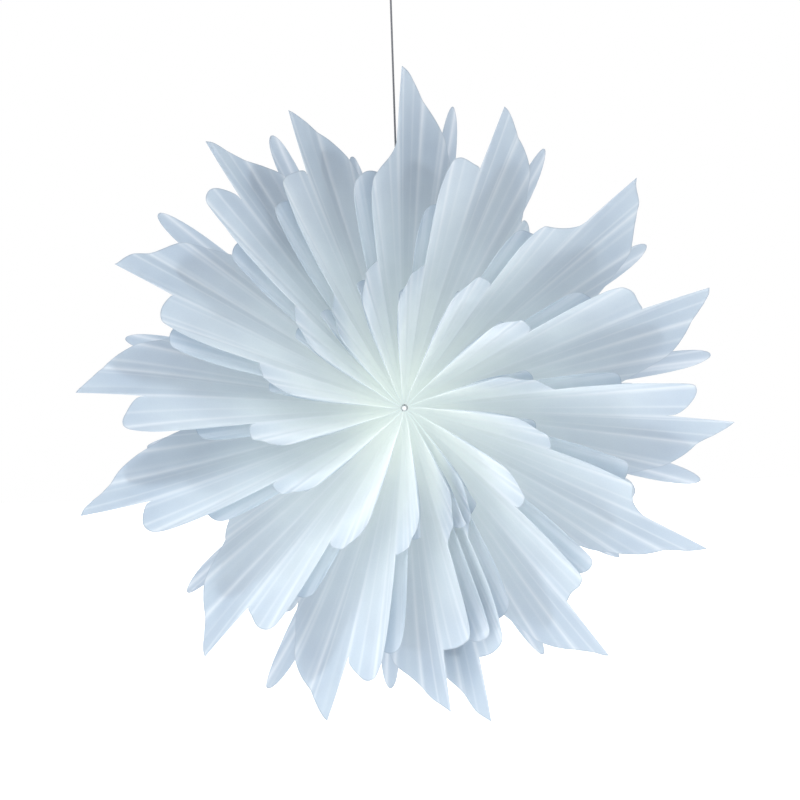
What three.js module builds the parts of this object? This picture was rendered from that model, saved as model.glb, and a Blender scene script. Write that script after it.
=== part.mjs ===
// Hanging paper star: sixteen pleated paper leaves fanned round one binding cord, hung on a thread.
// Each leaf is a broad petal sheet with a narrower rib sheet glued behind it. Millimetres, +Z up.
// The spine of the star runs along Y, its front is towards -Y, and the hanging point is the origin.
import * as THREE from "three";

// ---- driving dimensions ----
const CENTRE_DROP = 345; // hanging point down to the centre of the star
const STAR_REACH = 258; // centre to the longest petal tip
const SPINE_HALF = 69; // half the length of the binding cord
const SPINE_CLEAR = 2.3; // leaf edges keep this far from the spine's axis
const CENTRE_CLEAR = 10; // and this far from the centre, where the thread is tied
const RIB_CLEAR = 30; // rib sheets start this far from the axis
const RIB_GAP = 0.8; // rib sheet to the petal sheet it is glued to
const EDGE_THICKNESS = 0.3; // sheet thickness at the outline
const SPINE_THICKNESS = 0.1; // sheet thickness at the spine
const CORD_RADIUS = 1.2; // binding cord
const CORD_KNOT_RADIUS = 1.8;
const THREAD_RADIUS = 0.75; // hanging thread
const THREAD_KNOT_RADIUS = 2;
const LOOP_HEIGHT = 20; // hanging loop, over all
const LOOP_WIDTH = 9;
const TAB_END_GAP = 1.1; // closing tab to the faces of the two leaves
const TOUCH_GAP = 0.3; // left between pieces that touch
const ARC_STEP = 5; // degrees between points of a sheet's round outline

// The leaves: where each one's straight border points, in degrees anticlockwise from +X as seen
// from the front, and how far it reaches as a share of STAR_REACH.
const LEAVES = [
  { azimuth: 89.7, reach: 1.01 },
  { azimuth: 70.9, reach: 0.97 },
  { azimuth: 43.8, reach: 1.0 },
  { azimuth: 20.1, reach: 0.98 },
  { azimuth: -4.2, reach: 1.0 },
  { azimuth: -26.5, reach: 0.99 },
  { azimuth: -52.6, reach: 0.98 },
  { azimuth: -74.5, reach: 0.97 },
  { azimuth: -84.0, reach: 0.95 },
  { azimuth: -104.8, reach: 0.98 },
  { azimuth: -130.4, reach: 0.98 },
  { azimuth: -161.2, reach: 1.0 },
  { azimuth: 174.5, reach: 1.0 },
  { azimuth: 151.1, reach: 1.0 },
  { azimuth: 125.6, reach: 0.99 },
  { azimuth: 110.8, reach: 0.94 },
];

// Directions inside a leaf are named by their tilt: degrees from the front of the spine, so 0 is the
// front end, 90 points straight out and 180 is the back end. A pleat is [tilt, degrees of turn].
const PETAL_PLEATS = [
  [2, 26],
  [10, 26],
  [24, 22],
  [31, 20.5],
  [38, 16],
  [44, 14.5],
  [50, 9],
  [62, 6.5],
  [75, 0],
  [90, -5],
  [100, -10.5],
  [112, -15],
  [124, -20.5],
  [132, -22],
  [146, -28.5],
  [160, -32],
  [178, -36],
];
// How far a rib sheet turns away from its petal sheet, as [tilt, degrees].
const RIB_LIFT = [
  [26, 0],
  [42, 4.5],
  [60, 4.5],
  [90, 0],
  [104, 2.5],
  [118, 3],
  [136, 4.5],
  [156, 0],
];

// An outline is a row of pieces by tilt. A lobe swells round from its low to its peak; an edge runs
// straight from one reach to the next. Reaches are shares of STAR_REACH.
const PETAL_OUTLINE = [
  { edge: [2, 10], reach: [0.25, 0.255] },
  { edge: [10, 20], reach: [0.255, 0.29] },
  { lobe: [20, 50], low: [0.29, 0.56], peak: 0.64 },
  { lobe: [50, 74.5], low: [0.56, 0.8], peak: 0.87 },
  { edge: [74.5, 77], reach: [0.8, 1.0] },
  { edge: [77, 90], reach: [1.0, 0.907] },
  { edge: [90, 99], reach: [0.907, 0.845] },
  { edge: [99, 112], reach: [0.845, 0.74] },
  { lobe: [112, 134], low: [0.74, 0.56], peak: 0.86 },
  { lobe: [134, 160], low: [0.56, 0.29], peak: 0.64 },
  { edge: [160, 170], reach: [0.29, 0.255] },
  { edge: [170, 178], reach: [0.255, 0.25] },
];
const RIB_OUTLINE = [
  { lobe: [30, 50], low: [0.36, 0.48], peak: 0.56 },
  { lobe: [50, 74], low: [0.48, 0.68], peak: 0.8 },
  { edge: [74, 82], reach: [0.68, 0.7] },
  { lobe: [82, 104], low: [0.7, 0.72], peak: 0.84 },
  { lobe: [104, 118], low: [0.72, 0.68], peak: 1.02 },
  { lobe: [118, 136], low: [0.68, 0.48], peak: 0.79 },
  { lobe: [136, 152], low: [0.48, 0.36], peak: 0.56 },
];

const rad = THREE.MathUtils.degToRad;

// ---- materials ----
const petalPaper = new THREE.MeshStandardMaterial({ color: 0xe3ebf3, roughness: 0.9, metalness: 0 });
const ribPaper = new THREE.MeshStandardMaterial({ color: 0xd8e1ec, roughness: 0.9, metalness: 0 });
const tabPaper = new THREE.MeshStandardMaterial({ color: 0xeef1f4, roughness: 0.85, metalness: 0 });
const whiteCord = new THREE.MeshStandardMaterial({ color: 0xd9dcdf, roughness: 0.85, metalness: 0 });
const greyThread = new THREE.MeshStandardMaterial({ color: 0x4b4e55, roughness: 0.7, metalness: 0 });

const star = new THREE.Group();
star.position.z = -CENTRE_DROP;

function add(parent, name, geometry, material) {
  const mesh = new THREE.Mesh(geometry, material);
  mesh.name = name;
  parent.add(mesh);
  return mesh;
}

// ---- paper sheets ----

// The value at a tilt of a list of [tilt, value] points joined by straight lines.
function along(points, tilt) {
  for (let i = 1; i < points.length; i++) {
    const [fromTilt, fromValue] = points[i - 1];
    const [toTilt, toValue] = points[i];
    if (tilt <= toTilt) {
      const share = Math.max(0, (tilt - fromTilt) / (toTilt - fromTilt));
      return THREE.MathUtils.lerp(fromValue, toValue, share);
    }
  }
  return points[points.length - 1][1];
}

// The outline's points as {tilt, reach}, with a point at every pleat too.
function outlinePoints(outline, pleats) {
  const points = [];
  for (const piece of outline) {
    const [from, to] = piece.lobe ?? piece.edge;
    const [start, end] = piece.lobe ? piece.low : piece.reach;
    const reachAt = (tilt) => {
      const share = (tilt - from) / (to - from);
      const straight = THREE.MathUtils.lerp(start, end, share);
      if (!piece.lobe) return straight;
      const swell = Math.sqrt(Math.max(0, Math.sin(Math.PI * share)));
      return straight + (piece.peak - straight) * swell;
    };
    const tilts = [from];
    const steps = piece.lobe ? Math.ceil((to - from) / ARC_STEP) : 1;
    for (let i = 1; i < steps; i++) tilts.push(from + ((to - from) * i) / steps);
    if (piece.lobe) tilts.push(from + (to - from) * 0.03, to - (to - from) * 0.03);
    for (const [tilt] of pleats) if (tilt > from && tilt < to) tilts.push(tilt);
    tilts.sort((a, b) => a - b);
    for (const tilt of tilts) points.push({ tilt, reach: reachAt(tilt) });
  }
  const last = outline[outline.length - 1];
  points.push({ tilt: (last.lobe ?? last.edge)[1], reach: (last.low ?? last.reach)[1] });
  return points.filter((p, i) => i === 0 || p.tilt - points[i - 1].tilt > 0.4);
}

// A point of the star at a distance from its centre, pushed sideways round the spine.
function starPoint(distance, tilt, azimuth, sideways) {
  const radius = distance * Math.sin(rad(tilt));
  const turn = rad(azimuth) + sideways / radius;
  return [radius * Math.cos(turn), -distance * Math.cos(rad(tilt)), radius * Math.sin(turn)];
}

// A closed thin sheet from its inner edge to its outline, straight along each direction.
function sheetGeometry(points, azimuthAt, innerAt, standoff) {
  const positions = [];
  for (const { tilt, reach } of points) {
    const outer = reach * STAR_REACH;
    const inner = Math.min(innerAt(tilt), outer - 0.5);
    for (const [distance, thickness] of [[inner, SPINE_THICKNESS], [outer, EDGE_THICKNESS]]) {
      for (const side of [-0.5, 0.5]) {
        positions.push(...starPoint(distance, tilt, azimuthAt(tilt), standoff + side * thickness));
      }
    }
  }
  // Each direction has four corners: inner clockwise, inner anticlockwise, outer clockwise, outer
  // anticlockwise. Walking round them in this order gives the four long faces of the sheet.
  const ring = [0, 2, 3, 1];
  const index = [];
  for (let i = 0; i + 1 < points.length; i++) {
    const here = 4 * i;
    const next = here + 4;
    for (let k = 0; k < 4; k++) {
      const a = ring[k];
      const b = ring[(k + 1) % 4];
      index.push(here + a, next + b, here + b, here + a, next + a, next + b);
    }
  }
  const end = 4 * (points.length - 1);
  index.push(0, 3, 1, 0, 2, 3, end, end + 1, end + 3, end, end + 3, end + 2);
  const geometry = new THREE.BufferGeometry();
  geometry.setAttribute("position", new THREE.Float32BufferAttribute(positions, 3));
  geometry.setIndex(index);
  geometry.computeVertexNormals();
  return geometry;
}

function scaled(points, reach) {
  return points.map((p) => ({ tilt: p.tilt, reach: p.reach * reach }));
}

function addLeaf(leaf, number) {
  const label = String(number).padStart(2, "0");
  const petalTurn = (tilt) => leaf.azimuth + along(PETAL_PLEATS, tilt);
  const ribTurn = (tilt) => petalTurn(tilt) + along(RIB_LIFT, tilt);
  const petalInner = (tilt) => Math.max(CENTRE_CLEAR, SPINE_CLEAR / Math.sin(rad(tilt)));
  const ribInner = (tilt) => RIB_CLEAR / Math.sin(rad(tilt));
  const petal = scaled(outlinePoints(PETAL_OUTLINE, PETAL_PLEATS), leaf.reach);
  const rib = scaled(outlinePoints(RIB_OUTLINE, [...PETAL_PLEATS, ...RIB_LIFT]), leaf.reach);
  add(star, `petal_${label}`, sheetGeometry(petal, petalTurn, petalInner, 0), petalPaper);
  add(star, `rib_${label}`, sheetGeometry(rib, ribTurn, ribInner, RIB_GAP), ribPaper);
}

LEAVES.forEach((leaf, i) => addLeaf(leaf, i + 1));

// ---- spine ----
const cordLength = 2 * SPINE_HALF;
add(star, "binding_cord", new THREE.CylinderGeometry(CORD_RADIUS, CORD_RADIUS, cordLength, 8), whiteCord);
for (const [name, side] of [["front_knot", -1], ["back_knot", 1]]) {
  const knot = add(star, name, new THREE.SphereGeometry(CORD_KNOT_RADIUS, 10, 6), whiteCord);
  knot.position.y = side * (SPINE_HALF + TOUCH_GAP + CORD_KNOT_RADIUS);
}

// ---- closing tab: a strip on the last leaf that reaches across to the first ----
const TAB_TILT = 122;
const TAB_DISTANCE = 28;
const TAB_WIDTH = 4;
const TAB_THICKNESS = 0.4;
function addClosingTab() {
  const turn = along(PETAL_PLEATS, TAB_TILT);
  const first = new THREE.Vector3(...starPoint(TAB_DISTANCE, TAB_TILT, LEAVES[0].azimuth + turn, 0));
  const lastAzimuth = LEAVES[LEAVES.length - 1].azimuth + turn;
  const last = new THREE.Vector3(...starPoint(TAB_DISTANCE, TAB_TILT, lastAzimuth, 0));
  const span = last.clone().sub(first);
  const outward = first.clone().add(last).normalize();
  const length = span.length() - 2 * TAB_END_GAP;
  const tab = add(star, "closing_tab", new THREE.BoxGeometry(length, TAB_THICKNESS, TAB_WIDTH), tabPaper);
  const across = span.normalize();
  const up = new THREE.Vector3().crossVectors(across, outward);
  tab.setRotationFromMatrix(new THREE.Matrix4().makeBasis(across, outward, up));
  tab.position.copy(first).add(last).multiplyScalar(0.5);
}
addClosingTab();

// ---- hanging thread: tied round the cord at the centre, up to a knot and a loop ----
const TIE_RADIUS = CORD_RADIUS + TOUCH_GAP + THREAD_RADIUS;
const tie = add(star, "thread_tie", new THREE.TorusGeometry(TIE_RADIUS, THREAD_RADIUS, 8, 16), greyThread);
tie.rotation.x = Math.PI / 2;
const threadTop = -LOOP_HEIGHT - 2 * THREAD_KNOT_RADIUS - TOUCH_GAP;
const threadFoot = -CENTRE_DROP + TIE_RADIUS + THREAD_RADIUS + TOUCH_GAP;

const hanger = new THREE.Group();
const threadLength = threadTop - threadFoot;
const threadShape = new THREE.CylinderGeometry(THREAD_RADIUS, THREAD_RADIUS, threadLength, 8);
const thread = add(hanger, "hanging_thread", threadShape, greyThread);
thread.rotation.x = Math.PI / 2;
thread.position.z = (threadTop + threadFoot) / 2;
const knot = add(hanger, "loop_knot", new THREE.SphereGeometry(THREAD_KNOT_RADIUS, 10, 6), greyThread);
knot.position.z = threadTop + TOUCH_GAP + THREAD_KNOT_RADIUS;
const loopOuter = (LOOP_HEIGHT - TOUCH_GAP) / 2;
const loopShape = new THREE.TorusGeometry(loopOuter - THREAD_RADIUS, THREAD_RADIUS, 8, 24);
const loop = add(hanger, "hanging_loop", loopShape, greyThread);
loop.rotation.x = Math.PI / 2;
loop.scale.x = LOOP_WIDTH / (2 * loopOuter);
loop.position.z = -loopOuter;

const paperStar = new THREE.Group();
paperStar.add(star, hanger);

export default paperStar;
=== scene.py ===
"""A hanging paper star: sixteen pleated white paper leaves fanned round a bound spine, on a thin
grey thread, in soft even light. Metres, +Z up; the star's front faces -Y."""

import math

import bpy
import numpy as np
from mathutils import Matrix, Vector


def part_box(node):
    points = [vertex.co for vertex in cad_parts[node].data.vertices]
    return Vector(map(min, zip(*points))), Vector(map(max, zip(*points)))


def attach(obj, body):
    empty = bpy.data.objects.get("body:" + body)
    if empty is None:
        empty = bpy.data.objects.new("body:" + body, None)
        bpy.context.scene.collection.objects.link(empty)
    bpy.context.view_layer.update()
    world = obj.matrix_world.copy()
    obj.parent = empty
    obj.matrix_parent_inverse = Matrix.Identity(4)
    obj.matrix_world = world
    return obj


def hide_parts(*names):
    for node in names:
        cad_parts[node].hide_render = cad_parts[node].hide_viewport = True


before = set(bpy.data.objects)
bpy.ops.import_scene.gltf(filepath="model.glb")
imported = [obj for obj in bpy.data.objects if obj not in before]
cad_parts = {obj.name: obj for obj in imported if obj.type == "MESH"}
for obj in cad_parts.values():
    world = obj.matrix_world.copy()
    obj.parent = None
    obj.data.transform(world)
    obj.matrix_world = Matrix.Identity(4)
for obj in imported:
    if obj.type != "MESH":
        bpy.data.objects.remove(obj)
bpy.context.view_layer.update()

MM = 0.001

# ---- the star's own sizes ----
# Reach, outlines, pleats and leaves are the CAD model's. The sheets here run closer to the spine and
# are thinner than the CAD solids.
THREAD_RADIUS = 0.75 * MM
TIE_LOW, TIE_HIGH = (np.array(corner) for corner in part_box("thread_tie"))
CENTRE = (TIE_LOW + TIE_HIGH) / 2
STAR_REACH = 258 * MM
SPINE_CLEAR = 1.7 * MM
CENTRE_CLEAR = 4.2 * MM
RIB_CLEAR = 14 * MM
RIB_GAP = 0.8 * MM
EDGE_THICKNESS = 0.22 * MM
SPINE_THICKNESS = 0.08 * MM
TILT_STEP = 0.9  # degrees between a sheet's columns of points
RADIAL_STEPS = 14
RIM_SHARE = 0.006  # of a sheet's reach, where its cut edge is painted darker, a thin line of painted shade
LEAST_DEPTH = 0.3 * MM  # of a sheet, from its inner edge to its outer one
CREASE_WIDTH = 0.9  # degrees to each side of a pleat's fold
PLEAT_ROUNDING = 1.2  # degrees over which a pleat's corner is rounded
SHARP_FOLD = 40  # degrees between faces, past which an edge isn't smoothed

# ---- the room, the light and the camera ----
LIGHT_STRENGTH = 0.96  # of the white room, where it lights the paper
SOFTBOX_PLACE = (-0.5, -2.4, 0.3)
SOFTBOX_SIZE = 1.6
SOFTBOX_POWER = 38.0
FLOOR_DROP = 0.45  # below the star's centre
FLOOR_HALF = 12.0
VIEW_WIDTH = 621 * MM  # seen across the star's centre
CAMERA_DISTANCE = 2.2
CAMERA_LEFT = 3.1 * MM  # of the star's centre
CAMERA_ABOVE = 6.2 * MM
CAMERA_ROLL = 1.9  # degrees; the thread's top leans left

# Azimuth of each leaf's straight border in degrees, and its share of the reach.
LEAVES = [
    (89.7, 1.01),
    (70.9, 0.97),
    (43.8, 1.00),
    (20.1, 0.98),
    (-4.2, 1.00),
    (-26.5, 0.99),
    (-52.6, 0.98),
    (-74.5, 0.97),
    (-84.0, 0.95),
    (-104.8, 0.98),
    (-130.4, 0.98),
    (-161.2, 1.00),
    (174.5, 1.00),
    (151.1, 1.00),
    (125.6, 0.99),
    (110.8, 0.94),
]

# Pleats as (tilt, turn) in degrees; tilt runs from the front of the spine to the back.
PETAL_PLEATS = [
    (2, 26),
    (10, 26),
    (24, 22),
    (31, 20.5),
    (38, 16),
    (44, 14.5),
    (50, 9),
    (62, 6.5),
    (75, 0),
    (90, -5),
    (100, -10.5),
    (112, -15),
    (124, -20.5),
    (132, -22),
    (146, -28.5),
    (160, -32),
    (178, -36),
]
RIB_LIFT = [
    (26, 0),
    (42, 4.5),
    (60, 4.5),
    (90, 0),
    (104, 2.5),
    (118, 3),
    (136, 4.5),
    (156, 0),
]

# Outlines: each row is (from tilt, to tilt, low at from, low at to, peak), in shares of the reach.
# A row without a peak is a straight edge.
PETAL_OUTLINE = [
    (2, 10, 0.25, 0.255, None),
    (10, 20, 0.255, 0.29, None),
    (20, 50, 0.29, 0.56, 0.64),
    (50, 74.5, 0.56, 0.8, 0.87),
    (74.5, 77, 0.8, 1.0, None),
    (77, 90, 1.0, 0.907, None),
    (90, 99, 0.907, 0.845, None),
    (99, 112, 0.845, 0.74, None),
    (112, 134, 0.74, 0.56, 0.86),
    (134, 160, 0.56, 0.29, 0.64),
    (160, 170, 0.29, 0.255, None),
    (170, 178, 0.255, 0.25, None),
]
RIB_OUTLINE = [
    (30, 50, 0.36, 0.48, 0.56),
    (50, 74, 0.48, 0.68, 0.8),
    (74, 82, 0.68, 0.7, None),
    (82, 104, 0.7, 0.72, 0.84),
    (104, 118, 0.72, 0.68, 1.02),
    (118, 136, 0.68, 0.48, 0.79),
    (136, 152, 0.48, 0.36, 0.56),
]


# ---- nodes ----
def new_material(name):
    material = bpy.data.materials.new(name)
    material.use_nodes = True
    tree = material.node_tree
    return material, tree, tree.nodes["Principled BSDF"]


def node(tree, kind, inputs=None, **settings):
    made = tree.nodes.new(kind)
    for key, value in settings.items():
        setattr(made, key, value)
    for key, value in (inputs or {}).items():
        if isinstance(value, bpy.types.NodeSocket):
            tree.links.new(value, made.inputs[key])
        else:
            made.inputs[key].default_value = value
    return made


def ramp(tree, factor, stops):
    made = node(tree, "ShaderNodeValToRGB", {"Fac": factor})
    elements = made.color_ramp.elements
    while len(elements) < len(stops):
        elements.new(0.5)
    for element, (place, colour) in zip(elements, stops):
        element.position = place
        element.color = (*colour, 1)
    return made.outputs["Color"]


# A Mix node's colours are its inputs 6 and 7, and the result is output 2.
def mix(tree, factor, a, b, blend="MIX"):
    made = node(tree, "ShaderNodeMix", data_type="RGBA", blend_type=blend)
    for socket, value in ((made.inputs[0], factor), (made.inputs[6], a), (made.inputs[7], b)):
        if isinstance(value, bpy.types.NodeSocket):
            tree.links.new(value, socket)
        elif isinstance(value, tuple):
            socket.default_value = (*value, 1)
        else:
            socket.default_value = value
    return made.outputs[2]


# Painted glow, given to the paper as emission: it stands in for the light that many thin sheets close
# together pass on to each other, by how open the place is.
SCATTERED_LIGHT = [
    (0.03, (0.160, 0.178, 0.186)),
    (0.12, (0.135, 0.152, 0.158)),
    (0.22, (0.115, 0.128, 0.134)),
    (0.35, (0.090, 0.100, 0.104)),
    (0.50, (0.082, 0.090, 0.092)),
    (0.63, (0.045, 0.049, 0.050)),
    (0.78, (0.0, 0.0, 0.0)),
]


def paper_material(name, outer, inner, crease_highlight):
    """Thin matte paper: fibres and faint mottling, with painted light: paler and glowing deep between the
    sheets by the spine, painted highlights on the creases and a painted shade line along the cut edge.
    """
    material, tree, shader = new_material(name)
    place = node(tree, "ShaderNodeTexCoord").outputs["Object"]
    open_air = node(tree, "ShaderNodeAttribute", attribute_name="openness").outputs["Fac"]
    crease = node(tree, "ShaderNodeAttribute", attribute_name="crease").outputs["Fac"]
    rim = node(tree, "ShaderNodeAttribute", attribute_name="rim").outputs["Fac"]
    cloud = node(tree, "ShaderNodeTexNoise", {"Vector": place, "Scale": 22.0, "Detail": 3.0})
    fibre = node(tree, "ShaderNodeTexNoise", {"Vector": place, "Scale": 900.0, "Detail": 4.0})
    # Painted light: the paper is given paler and warmer the deeper it lies between the sheets by the spine,
    # where shade would fall, standing in for light scattered between them.
    middle = tuple((a + b) / 2 + 0.03 for a, b in zip(outer, inner))
    tint = ramp(tree, open_air, [(0.1, inner), (0.45, middle), (0.8, outer)])
    mottle = ramp(tree, cloud.outputs["Fac"], [(0.35, (0.95, 0.955, 0.97)), (0.65, (1, 1, 1))])
    tint = mix(tree, 1.0, tint, mottle, "MULTIPLY")
    flecks = ramp(tree, fibre.outputs["Fac"], [(0.3, (0.965, 0.965, 0.97)), (0.6, (1, 1, 1))])
    tint = mix(tree, 1.0, tint, flecks, "MULTIPLY")
    # Painted highlight: the creases are given a paler colour, as folds that catch the light.
    tint = mix(tree, crease, tint, crease_highlight)
    # Painted shade: a dark line along the cut edge, where the edge shows as a thin shadow.
    tint = mix(tree, rim, tint, (0.42, 0.47, 0.53))
    tree.links.new(tint, shader.inputs["Base Color"])
    # Painted glow: emission in the paper, strongest deep between the sheets by the spine.
    painted_glow = ramp(tree, open_air, SCATTERED_LIGHT)
    tree.links.new(painted_glow, shader.inputs["Emission Color"])
    shader.inputs["Emission Strength"].default_value = 1.0
    shader.inputs["Roughness"].default_value = 0.88
    shader.inputs["Specular IOR Level"].default_value = 0.25
    shader.inputs["Sheen Weight"].default_value = 0.08
    grain = node(tree, "ShaderNodeBump", {"Height": fibre.outputs["Fac"], "Strength": 0.25})
    grain.inputs["Distance"].default_value = 0.0002
    soft = node(
        tree,
        "ShaderNodeBump",
        {"Height": cloud.outputs["Fac"], "Normal": grain.outputs["Normal"], "Strength": 0.3},
    )
    soft.inputs["Distance"].default_value = 0.002
    tree.links.new(soft.outputs["Normal"], shader.inputs["Normal"])
    through = node(tree, "ShaderNodeBsdfTranslucent", {"Color": tint})
    blend = node(
        tree,
        "ShaderNodeMixShader",
        {0: 0.45, 1: shader.outputs["BSDF"], 2: through.outputs["BSDF"]},
    )
    output = tree.nodes["Material Output"]
    tree.links.new(blend.outputs["Shader"], output.inputs["Surface"])
    return material


def cord_material(name, dark, light, twists_per_metre):
    """Twisted fibre: slanting plies, which also give the fine bump."""
    material, tree, shader = new_material(name)
    place = node(tree, "ShaderNodeTexCoord").outputs["Object"]
    plies = node(
        tree,
        "ShaderNodeTexWave",
        {"Vector": place, "Scale": twists_per_metre, "Distortion": 1.5, "Detail": 2.0},
        bands_direction="DIAGONAL",
    )
    colour = ramp(tree, plies.outputs["Fac"], [(0.2, dark), (0.8, light)])
    tree.links.new(colour, shader.inputs["Base Color"])
    shader.inputs["Roughness"].default_value = 0.7
    bump = node(tree, "ShaderNodeBump", {"Height": plies.outputs["Fac"], "Strength": 0.5})
    bump.inputs["Distance"].default_value = 0.0003
    tree.links.new(bump.outputs["Normal"], shader.inputs["Normal"])
    return material


# The outer and inner colours differ by painted light: the inner one is the paler colour given deep between
# the sheets.
PETAL_PAPER = paper_material("petal_paper", (0.66, 0.735, 0.80), (0.97, 0.985, 0.955), (0.93, 0.95, 0.97))
# The rib paper is the petal paper a little darker: painted shade for the sheets set back behind the petals.
RIB_PAPER = paper_material("rib_paper", (0.64, 0.715, 0.785), (0.96, 0.975, 0.95), (0.91, 0.93, 0.96))
WHITE_CORD = cord_material("white_cord", (0.62, 0.64, 0.67), (0.86, 0.87, 0.88), 420.0)
GREY_THREAD = cord_material("grey_thread", (0.055, 0.058, 0.068), (0.16, 0.165, 0.18), 600.0)


# ---- camera ----
def add_camera():
    camera = bpy.data.cameras.new("camera")
    camera.sensor_width = 36
    camera.lens = camera.sensor_width * CAMERA_DISTANCE / VIEW_WIDTH
    camera.clip_end = 50
    holder = bpy.data.objects.new("camera", camera)
    bpy.context.collection.objects.link(holder)
    holder.location = (CENTRE[0] - CAMERA_LEFT, -CAMERA_DISTANCE, CENTRE[2] + CAMERA_ABOVE)
    holder.rotation_euler = (math.radians(90), math.radians(CAMERA_ROLL), 0)
    bpy.context.scene.camera = holder


add_camera()


# ---- hanging thread ----
def thread_points():
    low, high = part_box("hanging_thread")
    steps = 24
    heights = [low[2] + (high[2] - low[2]) * i / steps for i in range(steps + 1)]
    return [(0.0, 0.0, height) for height in heights]


def add_thread():
    points = thread_points()
    curve = bpy.data.curves.new("thread", "CURVE")
    curve.dimensions = "3D"
    curve.bevel_depth = THREAD_RADIUS
    curve.bevel_resolution = 3
    curve.use_fill_caps = True
    spline = curve.splines.new("POLY")
    spline.points.add(len(points) - 1)
    for spot, point in zip(spline.points, points):
        spot.co = (*point, 1)
    curve.materials.append(GREY_THREAD)
    thread = bpy.data.objects.new("thread", curve)
    bpy.context.collection.objects.link(thread)
    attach(thread, "thread_swing")
    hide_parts("hanging_thread")


add_thread()


# ---- paper sheets ----
def smooth_along(points, tilts, width):
    """A list of (tilt, value) joined by lines, with its corners rounded over a width in degrees."""
    x, y = zip(*points)
    offsets = np.linspace(-width, width, 9)
    weights = np.cos(offsets / width * math.pi / 2) + 0.05
    total = sum(w * np.interp(tilts + o, x, y) for w, o in zip(weights, offsets))
    return total / weights.sum()


# The reach of an outline at a tilt. A swell is a leaf's own fullness of each lobe.
def outline_reach(outline, tilt, swells):
    for (start, end, low, high, peak), fullness in zip(outline, swells):
        if tilt <= end:
            share = (tilt - start) / (end - start)
            straight = low + (high - low) * share
            if peak is None:
                return straight
            swell = max(0.0, math.sin(math.pi * share)) ** 0.5
            return straight + (peak * fullness - straight) * swell
    return outline[-1][3]


def outline_tilts(outline):
    tilts = set()
    for start, end, _, _, peak in outline:
        count = max(2, math.ceil((end - start) / TILT_STEP))
        tilts.update(start + (end - start) * i / count for i in range(count + 1))
        if peak:
            for inset in (0.01, 0.03):
                tilts.update((start + (end - start) * inset, end - (end - start) * inset))
    return np.array(sorted(tilts))


def crease_strength(pleats, tilts):
    strength = np.zeros_like(tilts)
    for tilt, _ in pleats[1:-1]:
        strength = np.maximum(strength, np.exp(-(((tilts - tilt) / CREASE_WIDTH) ** 2)))
    return strength


def openness(from_spine, from_centre, share):
    """0 deep between the sheets by the spine, 1 at the tips; a lobe's outer half opens towards its end."""
    outer_half = np.clip((share - 0.5) / 0.5, 0, 1)
    clear_of_centre = np.clip((from_centre - 0.27) / 0.15, 0, 1)
    return np.maximum(from_spine, 0.7 * (outer_half * clear_of_centre))


class Character:
    """The small, repeatable differences between one hand-opened leaf and the next."""

    def __init__(self, seed):
        rng = np.random.default_rng(seed)
        self.phase = rng.uniform(0, 2 * math.pi, 4)
        self.sway = rng.uniform(0.6, 1.3)
        self.curl = rng.uniform(-1.2, 1.2)
        self.swells = rng.uniform(0.86, 1.06, len(PETAL_OUTLINE))
        self.pleat = rng.uniform(0.12, 0.22)
        self.pleat_count = rng.uniform(50, 64)

    def turn(self, tilts, share):
        """Extra degrees of turn at a tilt and a share of the way out."""
        slow = self.sway * np.sin(np.radians(tilts) * 2.1 + self.phase[0])
        return slow * share**1.5 + self.small_pleats(tilts) * share**0.5 + self.curl * share**4

    def small_pleats(self, tilts):
        """Straight folds fanning out from the centre, as a zigzag."""
        zigzag = np.arcsin(np.sin(np.radians(tilts) * self.pleat_count / 2 + self.phase[1]))
        return self.pleat * zigzag * 2 / math.pi

    def fold_lines(self, tilts):
        """1 on a small pleat's fold and 0 away from it."""
        wave = np.abs(np.sin(np.radians(tilts) * self.pleat_count / 2 + self.phase[1]))
        return wave**60

    def edge(self, tilts):
        slow = 0.022 * np.sin(np.radians(tilts) * 5 + self.phase[2])
        return 1 + slow + 0.005 * np.sin(np.radians(tilts) * 23 + self.phase[3])


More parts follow.
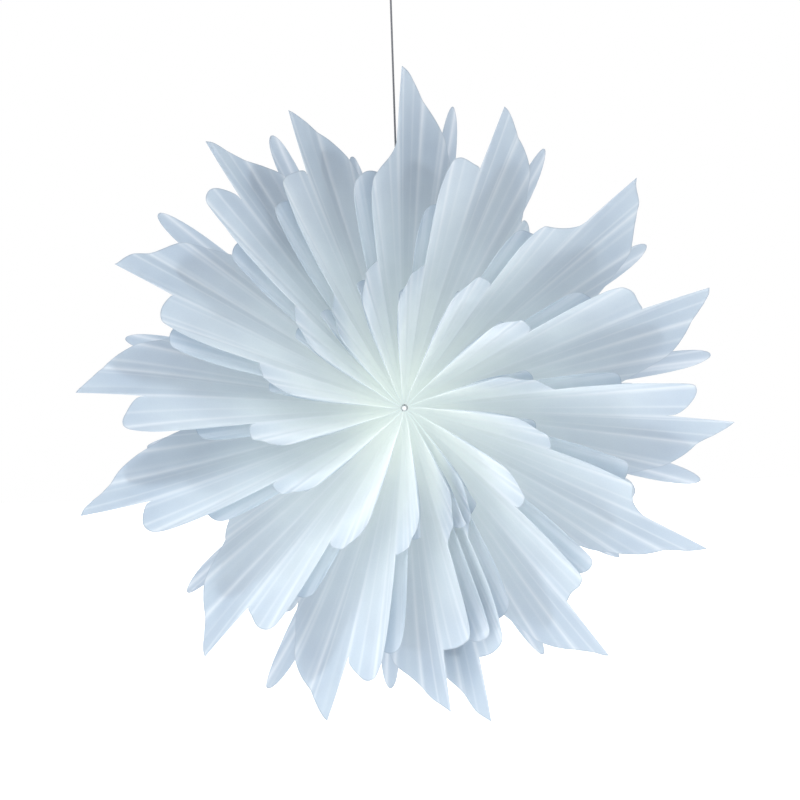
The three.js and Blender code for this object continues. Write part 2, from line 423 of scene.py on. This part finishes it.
def sheet_mesh(name, outline, pleats_at, azimuth, reach_share, inner_at, standoff, character, creases):
    tilts = outline_tilts(outline)
    reach = np.array([outline_reach(outline, t, character.swells) for t in tilts]) * reach_share * STAR_REACH
    reach *= character.edge(tilts)
    sine = np.sin(np.radians(tilts))
    inner = np.minimum(inner_at(sine), reach - LEAST_DEPTH)
    share = np.append(np.linspace(0, 1 - RIM_SHARE, RADIAL_STEPS), 1.0)
    distance = inner[:, None] + (reach - inner)[:, None] * share[None, :]
    radius = distance * sine[:, None]
    out = distance / STAR_REACH
    turn = azimuth + pleats_at(tilts)[:, None] + character.turn(tilts[:, None], out)
    thickness = SPINE_THICKNESS + (EDGE_THICKNESS - SPINE_THICKNESS) * share[None, :]
    layers = []
    for side in (-0.5, 0.5):
        angle = np.radians(turn) + (standoff + side * thickness) / radius
        depth = -distance * np.cos(np.radians(tilts))[:, None]
        layers.append(np.stack([radius * np.cos(angle), depth, radius * np.sin(angle)], axis=-1))
    rows, columns = distance.shape
    points = np.concatenate([layer.reshape(-1, 3) for layer in layers]) + CENTRE
    count = rows * columns

    def quads(a, b, c, d):
        return np.stack([a, b, c, d], axis=-1).reshape(-1, 4)

    grid = np.arange(count).reshape(rows, columns)
    here, right = grid[:-1, :-1], grid[:-1, 1:]
    below, corner = grid[1:, :-1], grid[1:, 1:]
    faces = [quads(here, below, corner, right), quads(here, right, corner, below) + count]
    rim = np.concatenate([grid[0, :], grid[1:, -1], grid[-1, -2::-1], grid[-2:0:-1, 0]])
    following = np.roll(rim, -1)
    faces.append(quads(rim, following, following + count, rim + count))
    mesh = bpy.data.meshes.new(name)
    mesh.from_pydata(points.tolist(), [], np.concatenate(faces).tolist())
    folds = np.maximum(crease_strength(creases, tilts) * 0.6, character.fold_lines(tilts) * 0.4)
    # These masks place painted light on the paper: openness for the painted paling and glow, crease for the
    # painted highlights, rim for the painted shade line along the cut edge.
    values = {
        "openness": openness(radius / STAR_REACH, out, share[None, :]),
        "crease": np.broadcast_to(folds[:, None], out.shape),
        "rim": np.broadcast_to((share[None, :] > 0.999) * 0.5, out.shape),
    }
    for key, value in values.items():
        layer = mesh.attributes.new(key, "FLOAT", "POINT")
        layer.data.foreach_set("value", np.tile(value.reshape(-1), 2).astype(np.float32))
    mesh.validate()
    mesh.shade_smooth()
    mesh.set_sharp_from_angle(angle=math.radians(SHARP_FOLD))
    return mesh


def add_sheet(name, body, mesh, material):
    mesh.materials.append(material)
    sheet = bpy.data.objects.new(name + "_sheet", mesh)
    bpy.context.collection.objects.link(sheet)
    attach(sheet, body)
    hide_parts(name)


def add_leaf(number, azimuth, reach_share):
    label = f"{number:02d}"
    body = "spine" if number == 1 else f"leaf_{label}"
    character = Character(number)

    def petal_turn(tilts):
        return smooth_along(PETAL_PLEATS, tilts, PLEAT_ROUNDING)

    def rib_turn(tilts):
        return petal_turn(tilts) + smooth_along(RIB_LIFT, tilts, PLEAT_ROUNDING)

    petal = sheet_mesh(
        f"petal_{label}",
        PETAL_OUTLINE,
        petal_turn,
        azimuth,
        reach_share,
        lambda sine: np.maximum(CENTRE_CLEAR, SPINE_CLEAR / sine),
        0.0,
        character,
        PETAL_PLEATS,
    )
    add_sheet(f"petal_{label}", body, petal, PETAL_PAPER)
    rib = sheet_mesh(
        f"rib_{label}",
        RIB_OUTLINE,
        rib_turn,
        azimuth,
        reach_share,
        lambda sine: RIB_CLEAR / sine,
        RIB_GAP,
        character,
        sorted(PETAL_PLEATS + RIB_LIFT),
    )
    add_sheet(f"rib_{label}", body, rib, RIB_PAPER)


for index, (azimuth, reach_share) in enumerate(LEAVES):
    add_leaf(index + 1, azimuth, reach_share)


# ---- the carried-over CAD pieces ----
def paint(name, material):
    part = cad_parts[name]
    part.data.materials.clear()
    part.data.materials.append(material)


for name in ("binding_cord", "front_knot", "back_knot"):
    paint(name, WHITE_CORD)
for name in ("thread_tie", "loop_knot", "hanging_loop"):
    paint(name, GREY_THREAD)


# ---- floor, backdrop and light ----
def add_floor():
    material, tree, shader = new_material("pale_floor")
    shader.inputs["Base Color"].default_value = (0.9, 0.9, 0.9, 1)
    shader.inputs["Roughness"].default_value = 0.9
    shader.inputs["Emission Color"].default_value = (1, 1, 1, 1)
    shader.inputs["Emission Strength"].default_value = 0.6
    half = FLOOR_HALF
    height = CENTRE[2] - FLOOR_DROP
    mesh = bpy.data.meshes.new("floor")
    corners = [(-half, -half), (half, -half), (half, half), (-half, half)]
    mesh.from_pydata([(x, y, height) for x, y in corners], [], [(0, 1, 2, 3)])
    mesh.materials.append(material)
    floor = bpy.data.objects.new("floor", mesh)
    bpy.context.collection.objects.link(floor)


def add_softbox():
    light = bpy.data.lights.new("front_softbox", "AREA")
    light.size = SOFTBOX_SIZE
    light.energy = SOFTBOX_POWER
    lamp = bpy.data.objects.new("front_softbox", light)
    bpy.context.collection.objects.link(lamp)
    lamp.location = SOFTBOX_PLACE
    towards = CENTRE - np.array(SOFTBOX_PLACE)
    yaw = math.atan2(-towards[0], towards[1])
    pitch = math.acos(-towards[2] / np.linalg.norm(towards))
    lamp.rotation_euler = (pitch, 0, yaw)


def set_world():
    world = bpy.data.worlds.new("white_room")
    world.use_nodes = True
    background = world.node_tree.nodes["Background"]
    background.inputs["Color"].default_value = (1, 1, 1, 1)
    rays = node(world.node_tree, "ShaderNodeLightPath").outputs["Is Camera Ray"]
    strength = node(world.node_tree, "ShaderNodeMapRange", {"Value": rays})
    strength.inputs["To Min"].default_value = LIGHT_STRENGTH
    strength.inputs["To Max"].default_value = 1.0
    world.node_tree.links.new(strength.outputs["Result"], background.inputs["Strength"])
    bpy.context.scene.world = world


add_floor()
set_world()
add_softbox()
bpy.context.scene.view_settings.view_transform = "Standard"
